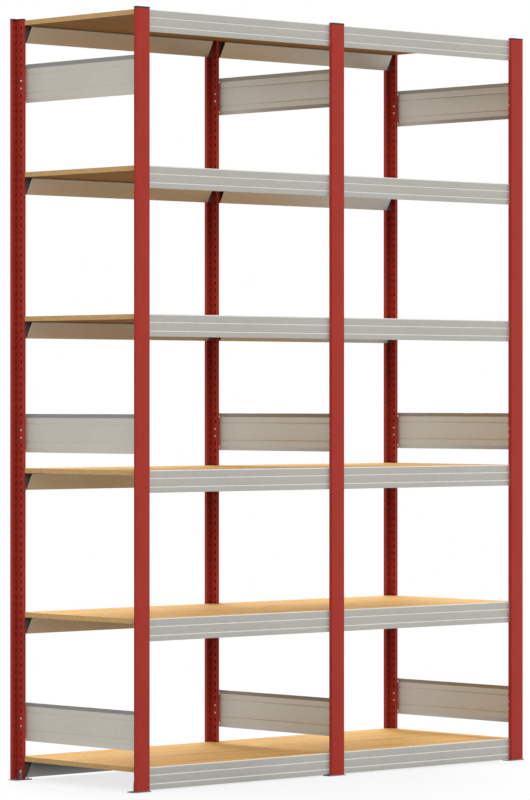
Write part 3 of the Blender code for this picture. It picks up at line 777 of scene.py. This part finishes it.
def add_bracket(shape, side, top):
    """Angle bracket welded into a beam's end, with two hooks into the stem.

    side is -1 or 1 for the beam's left or right end, top the height of the level.
    """
    def at(offset):
        """X at this distance from the frame's middle, towards the beam."""
        return side * BAY_PITCH / 2 - side * offset

    back = BRACKET_FACE + BRACKET_THICKNESS
    ends = sorted((at(PLATE_START), at(PLATE_END)))
    plate = rounded(box_loop(*ends, BRACKET_BOTTOM, BRACKET_TOP), BRACKET_CORNER, steps=3)
    hole = ring_loop(at(PLATE_HOLE_SIDE), PLATE_HOLE_HEIGHT, PLATE_HOLE_RADIUS, sides=14)
    add_section(shape, [plate, hole], BRACKET_FACE, back, "XZY")
    angle = [(at(BESIDE_STEM), ANGLE_START), (at(BESIDE_STEM), back), (at(ANGLE_SIDE), back)]
    line = sheet_outline(angle, -side * BRACKET_THICKNESS, ANGLE_BEND)
    add_section(shape, [line], BRACKET_BOTTOM, BRACKET_TOP, "XYZ")
    leg = rounded(box_loop(LEG_START, LEG_END, BRACKET_BOTTOM, BRACKET_TOP), LEG_CORNER, steps=3)
    ends = sorted((at(BESIDE_STEM), at(BESIDE_STEM + BRACKET_THICKNESS)))
    add_section(shape, [leg], *ends, "YZX")
    highest = round((top - UPRIGHT_BASE) / PUNCH_PITCH) - 1
    for row in (highest, highest - 1):
        low = punch_height(row) - (top - BEAM_HEIGHT) - HOOK_BELOW_PUNCH
        high = low + HOOK_NECK
        claw = [(at(HOOK_ROOT), low), (at(HOOK_ROOT), high),
                (at(HOOK_TIP - HOOK_THICKNESS), high), (at(HOOK_TIP - HOOK_THICKNESS), low - HOOK_DROP),
                (at(HOOK_TIP), low - HOOK_DROP), (at(HOOK_TIP), low)]
        add_section(shape, [rounded(claw, HOOK_CORNER, steps=2)], HOOK_START, HOOK_END, "XZY")


def make_beam_mesh(top):
    """Rolled stepped beam with a bracket in each end, its bottom at zero.

    The slopes of its face that look up carry a painted highlight; its bore and brackets carry a painted
    shade, a dark zinc.
    """
    shape = bmesh.new()
    points, bends = beam_outline()
    outer = rounded(points, bends)
    inner = rounded(beam_bore(), BORE_BEND, steps=2)
    faces = add_section(shape, [outer, inner], -BEAM_HALF_LENGTH, BEAM_HALF_LENGTH, "YZX")
    for face in faces[:len(outer)]:
        # Up-facing slopes of the face near the front get the painted highlight
        in_front = face.calc_center_median().y < BEAM_SETBACK + RIB_HIGHLIGHT_DEPTH
        if in_front and face.normal.z > RIB_HIGHLIGHT_SLOPE:
            face.material_index = 1
    # The bore's faces get the painted shade
    for face in faces[len(outer):len(outer) + len(inner)]:
        face.material_index = 2
    rolled = set(shape.faces)
    for side in (-1, 1):
        add_bracket(shape, side, top)
    # The brackets get the painted shade
    for face in set(shape.faces) - rolled:
        face.material_index = 2
    return finished_mesh("stepped_beam", shape, [BEAM_ZINC, RIB_PAINTED_HIGHLIGHT_ZINC, BORE_AND_BRACKET_PAINTED_SHADE], sharp_degrees=30)


def make_deck_mesh():
    """Board notched round the stems, with sawn edges and an unsanded back that carries a painted shade."""
    shape = bmesh.new()
    half_x = BAY_PITCH / 2 - DECK_GAP
    half_y = HALF_DEPTH - BEAM_SETBACK - BEAM_LIP - DECK_GAP
    notch_x = BAY_PITCH / 2 - STEM_HALF - DECK_NOTCH_GAP
    notch_y = HALF_DEPTH - STEM_DEPTH - DECK_NOTCH_GAP
    corner = [(half_x, notch_y), (notch_x, notch_y), (notch_x, half_y)]
    outline = corner + [(-x, y) for x, y in reversed(corner)]
    outline += [(-x, -y) for x, y in corner] + [(x, -y) for x, y in reversed(corner)]
    for face in add_section(shape, [outline], 0, DECK_THICKNESS, "XYZ"):
        if abs(face.normal.z) < 0.5:
            face.material_index = 1
        # The underside gets the painted shade
        elif face.normal.z < 0:
            face.material_index = 2
    return finished_mesh("notched_deck", shape, [BOARD_FACE, BOARD_EDGE, BOARD_BACK_PAINTED_SHADE])


def make_brace_mesh():
    """Bent and beaded panel, cut back to a flat bolted lap at each end.

    Its upper lip, folded inwards, has a painted shade, a darker zinc, on its side that faces -X.
    """
    shape = bmesh.new()
    inner = HALF_DEPTH - STEM_DEPTH
    lap_end = inner + BRACE_LAP
    lip_end = inner - BRACE_LIP_SETBACK
    line = [(-BRACE_LIP_REACH, 0), (0, BRACE_LIP_HEIGHT)]
    for middle in (BEAD_INSET, BRACE_HEIGHT - BEAD_INSET):
        line += [(0, middle - BEAD_HALF), (BEAD_DEPTH, middle), (0, middle + BEAD_HALF)]
    line += [(0, BRACE_HEIGHT - BRACE_LIP_HEIGHT), (-BRACE_LIP_REACH, BRACE_HEIGHT)]
    sheet = sheet_outline(line, -BRACE_SHEET, BRACE_BEND)
    for face in add_section(shape, [sheet], -lip_end, lip_end, "XZY"):
        # The upper lip's side that faces -X gets the painted shade
        in_lip = face.calc_center_median().z > BRACE_HEIGHT - LIP_SHADE_HEIGHT
        if in_lip and face.normal.x < 0 and abs(face.normal.y) < 0.5:
            face.material_index = 1
    low, high = BRACE_LAP_EDGE, BRACE_HEIGHT - BRACE_LAP_EDGE
    flat = [(0, low)] + [point for point in line if low < point[1] < high] + [(0, high)]
    for sign in (-1, 1):
        ends = sorted((sign * lip_end, sign * lap_end))
        add_section(shape, [sheet_outline(flat, -BRACE_SHEET, BRACE_BEND)], *ends, "XZY")
    return finished_mesh("brace_panel", shape, [BRACE_ZINC, LIP_PAINTED_SHADE_ZINC], sharp_degrees=30)


def add_hex(shape, start, direction, height, radius, center):
    """Hexagon head or nut along X with its outer corners turned off."""
    profile = [(start, radius), (start + direction * height * HEX_SIDE_SHARE, radius),
               (start + direction * height, radius * HEX_TOP_SHARE)]
    add_turned(shape, profile, "X", center, sides=6)


def add_thread(shape, start, end, radius, axis, center):
    """Threaded end as a run of ridges."""
    count = max(2, int((end - start) / THREAD_PITCH))
    ridge = (end - start) / count
    profile = []
    for i in range(count):
        base = start + i * ridge
        profile += [(base, radius * THREAD_ROOT_SHARE), (base + ridge / 2, radius)]
    profile.append((end, radius * THREAD_TIP_SHARE))
    add_turned(shape, profile, axis, center, sides=16)


def add_bolt(shape, head_face, nut_face, center):
    """Bolt along X with a hexagon head, and a nut and washer on its other side."""
    add_hex(shape, head_face, -1, HEAD_HEIGHT, HEAD_RADIUS, center)
    seat = nut_face + WASHER_THICKNESS
    washer = [(nut_face, WASHER_RADIUS), (seat, WASHER_RADIUS),
              (seat + WASHER_CROWN, WASHER_RADIUS - WASHER_RIM)]
    add_turned(shape, washer, "X", center, sides=24)
    add_hex(shape, seat, 1, NUT_HEIGHT, NUT_RADIUS, center)
    add_turned(shape, [(head_face, SHANK_RADIUS), (nut_face, SHANK_RADIUS)], "X", center, sides=12)
    add_thread(shape, nut_face + THREAD_START, nut_face + THREAD_END, THREAD_RADIUS, "X", center)


def make_brace_bolts():
    """Two bolts at each end of a brace panel, through the stem beside it."""
    shape = bmesh.new()
    for sign in (-1, 1):
        y = sign * (HALF_DEPTH - BOLT_DEPTH)
        for step in range(2):
            z = BRACE_LOWER_EDGE + step * PUNCH_PITCH
            add_bolt(shape, -BESIDE_STEM - STEM_HALF, BRACE_SHEET, (0, y, z))
    return finished_mesh("brace_bolts", shape, [BOLT_PLATE])


def make_foot_mesh():
    """Foot plate with a bent-up tab beside the stem and a spare hole."""
    shape = bmesh.new()
    plate = rounded(box_loop(-FOOT_HALF_WIDTH, FOOT_HALF_WIDTH, 0, FOOT_DEPTH), FOOT_CORNER)
    hole = ring_loop(-ANCHOR_SIDE, ANCHOR_DEPTH, SPARE_HOLE_RADIUS, sides=20)
    add_section(shape, [plate, hole], 0, FOOT_THICKNESS, "XYZ")
    tab = box_loop(TAB_START, FOOT_DEPTH, TAB_BOTTOM, TAB_TOP)
    tab = rounded(tab, [0, 0, TAB_CORNER, TAB_CORNER], steps=6)
    outside = -BESIDE_STEM - TAB_THICKNESS
    add_section(shape, [tab], outside, -BESIDE_STEM, "YZX")
    fillet = [(outside, FOOT_THICKNESS)]
    fillet += [(outside - out, FOOT_THICKNESS + up) for out, up in TAB_FILLET]
    add_section(shape, [fillet], TAB_START, FOOT_DEPTH, "XZY")
    return finished_mesh("foot_plate", shape, [FOOT_ZINC_PAINTED_SHADE])


def mirrored(mesh):
    """The other hand of a mesh, mirrored in X."""
    other = mesh.copy()
    other.name = mesh.name + "_other_hand"
    other.transform(Matrix.Scale(-1, 4, Vector((1, 0, 0))))
    other.flip_normals()
    return other


def make_foot_fasteners():
    """Bolt through the stem and the anchor that holds the foot down."""
    shape = bmesh.new()
    add_bolt(shape, -BESIDE_STEM - TAB_THICKNESS, BESIDE_STEM, (0, BOLT_DEPTH, punch_height(1)))
    center = (ANCHOR_SIDE, ANCHOR_DEPTH, 0)
    add_turned(shape, ANCHOR_WASHER, "Z", center, sides=28)
    add_turned(shape, ANCHOR_NUT, "Z", center, sides=6)
    add_thread(shape, *ANCHOR_THREAD, ANCHOR_THREAD_RADIUS, "Z", center)
    return finished_mesh("foot_fasteners", shape, [BOLT_PLATE])


def corners(x):
    """The two sides of the unit at one x: name, place and whether pieces there are turned."""
    return (("front", (x, -HALF_DEPTH, 0), False), ("rear", (x, HALF_DEPTH, 0), True))


def dress_frames():
    """Uprights with their caps, feet and fasteners, and the brace panels between them."""
    upright = make_upright_mesh()
    cap = make_cap_mesh()
    foot = make_foot_mesh()
    fasteners = make_foot_fasteners()
    feet = {"front": (foot, fasteners), "rear": (mirrored(foot), mirrored(fasteners))}
    brace = make_brace_mesh()
    bolts = make_brace_bolts()
    for name, x in FRAMES:
        for side, place, turned in corners(x):
            spot = f"{name}_{side}"
            stand(f"punched_upright_{spot}", upright, place, turned=turned,
                  replaced=[f"upright_{spot}"])
            stand(f"cap_{spot}", cap, place, turned=turned, soften=CAP_RIM)
            stand(f"footplate_{spot}", feet[side][0], place, turned=turned,
                  replaced=[f"foot_plate_{spot}"])
            stand(f"foot_fasteners_{spot}", feet[side][1], place, turned=turned)
        for level, row in BRACE_ROWS:
            place = (x + BESIDE_STEM, 0, punch_height(row) - BRACE_LOWER_EDGE)
            stand(f"brace_panel_{name}_{level}", brace, place,
                  replaced=[f"brace_{name}_{level}"])
            stand(f"brace_bolts_{name}_{level}", bolts, place)


def dress_shelves():
    """A pair of beams and a loose deck on each level of each bay."""
    deck = make_deck_mesh()
    for level, top in enumerate(LEVEL_TOPS, start=1):
        beam = make_beam_mesh(top)
        bottom = top - BEAM_HEIGHT
        for bay, x in BAYS:
            for side, (beam_x, beam_y, _), turned in corners(x):
                stand(f"stepped_beam_{bay}_{level}_{side}", beam, (beam_x, beam_y, bottom), turned=turned,
                      replaced=[f"{bay}_bay_beam_{level}_{side}"])
            stand(f"deck_board_{bay}_{level}", deck, (x, 0, bottom + DECK_SEAT),
                  body=f"{bay}_shelf_{level}", replaced=[f"{bay}_bay_deck_{level}"],
                  soften=DECK_EDGE)


def make_floor():
    """Plain white floor that keeps the unit's soft shadow and fades out to white.

    Light that it throws back, and what mirrors see of it, is a near-black painted shadow under the unit and
    brighter around it.
    """
    shape = bmesh.new()
    bmesh.ops.create_grid(shape, x_segments=1, y_segments=1, size=FLOOR_SIZE)
    material, tree, shader = start_material("studio_floor", Roughness=0.9, Specular_IOR_Level=0.1)
    cloud = place_group(tree, MOTTLE, Size=1.5, Detail=1.0).outputs[0]
    tint = blend_colors(tree, cloud, (0.90, 0.90, 0.90, 1), (0.92, 0.92, 0.92, 1))
    place = piece_coords(tree)
    reach = put(tree, "VectorMath", {0: place}, operation="LENGTH").outputs["Value"]
    spread = ramp(tree, reach, *FADE_REACH, FADE_START, 1.0)
    from_middle = put(tree, "VectorMath", {0: place}, operation="ABSOLUTE").outputs[0]
    sides = put(tree, "SeparateXYZ", {0: from_middle})
    along = ramp(tree, sides.outputs["X"], *FOOTPRINT_ALONG)
    across = ramp(tree, sides.outputs["Y"], *FOOTPRINT_ACROSS)
    outside = maths(tree, "MAXIMUM", along, across)
    rays = put(tree, "LightPath")
    # Inside the footprint the floor colour is the painted shadow
    bounce_and_painted_shadow = blend_colors(tree, outside, PAINTED_SHADOW_UNDER_UNIT, BOUNCE_AROUND)
    indirect = maths(tree, "MAXIMUM", rays.outputs["Is Diffuse Ray"], rays.outputs["Is Glossy Ray"])
    tint = blend_colors(tree, indirect, tint, bounce_and_painted_shadow)
    tree.links.new(tint, shader.inputs["Base Color"])
    mirror_rays = maths(tree, "MAXIMUM", rays.outputs["Is Glossy Ray"], rays.outputs["Is Transmission Ray"])
    mirror_rays = maths(tree, "MULTIPLY", mirror_rays, outside)
    seen = maths(tree, "MAXIMUM", rays.outputs["Is Camera Ray"], mirror_rays)
    lightened = maths(tree, "MULTIPLY", seen, spread)
    white = put(tree, "Emission", {"Color": (1, 1, 1, 1), "Strength": 1.0})
    mix = put(tree, "MixShader", {0: lightened, 1: shader.outputs[0], 2: white.outputs[0]})
    tree.links.new(mix.outputs[0], tree.nodes["Material Output"].inputs["Surface"])
    floor = bpy.data.objects.new("studio_floor", finished_mesh("studio_floor", shape, [material]))
    bpy.context.scene.collection.objects.link(floor)


def make_world():
    """Light from all round, stronger from above and the right, with plain white seen behind."""
    world = bpy.data.worlds.new("studio_world")
    world.use_nodes = True
    bpy.context.scene.world = world
    tree = world.node_tree
    tree.nodes.clear()
    rays = put(tree, "LightPath")
    seen = maths(tree, "MAXIMUM", rays.outputs["Is Camera Ray"], rays.outputs["Is Transmission Ray"])
    seen = maths(tree, "MAXIMUM", seen, rays.outputs["Is Glossy Ray"])
    direction = put(tree, "TexCoord").outputs["Generated"]
    heading = put(tree, "SeparateXYZ", {0: direction})
    from_above = ramp(tree, heading.outputs["Z"], 0.0, 1.0, HORIZON_LIGHT, ZENITH_LIGHT)
    from_right = maths(tree, "MULTIPLY", heading.outputs["X"], LIGHT_FROM_RIGHT)
    brightness = maths(tree, "ADD", from_above, from_right)
    light = put(tree, "Background", {"Color": (0.99, 0.99, 1.0, 1), "Strength": brightness})
    white = put(tree, "Background", {"Color": (1, 1, 1, 1), "Strength": 1.0})
    mix = put(tree, "MixShader", {0: seen, 1: light.outputs[0], 2: white.outputs[0]})
    output = put(tree, "OutputWorld")
    tree.links.new(mix.outputs[0], output.inputs[0])


def add_broad_light(name, source, strength):
    """A soft light from far away; source is the way to it."""
    data = bpy.data.lights.new(name, "SUN")
    data.energy = strength
    data.angle = math.radians(BROAD_LIGHT_ANGLE)
    lamp = bpy.data.objects.new(name, data)
    bpy.context.scene.collection.objects.link(lamp)
    lamp.rotation_euler = Vector(source).to_track_quat("Z", "Y").to_euler()


def add_camera():
    """The photograph's viewpoint."""
    data = bpy.data.cameras.new("camera")
    data.lens = CAMERA_LENS
    data.sensor_width = CAMERA_SENSOR
    data.clip_start = 0.5
    data.clip_end = 200
    camera = bpy.data.objects.new("camera", data)
    bpy.context.scene.collection.objects.link(camera)
    camera.location = CAMERA_PLACE
    camera.rotation_euler = (math.radians(CAMERA_TILT), 0, math.radians(CAMERA_TURN))
    bpy.context.scene.camera = camera


dress_frames()
dress_shelves()
make_floor()
make_world()
for light_name, light_source, light_strength in BROAD_LIGHTS:
    add_broad_light(light_name, light_source, light_strength)
add_camera()
bpy.context.scene.view_settings.view_transform = "Standard"
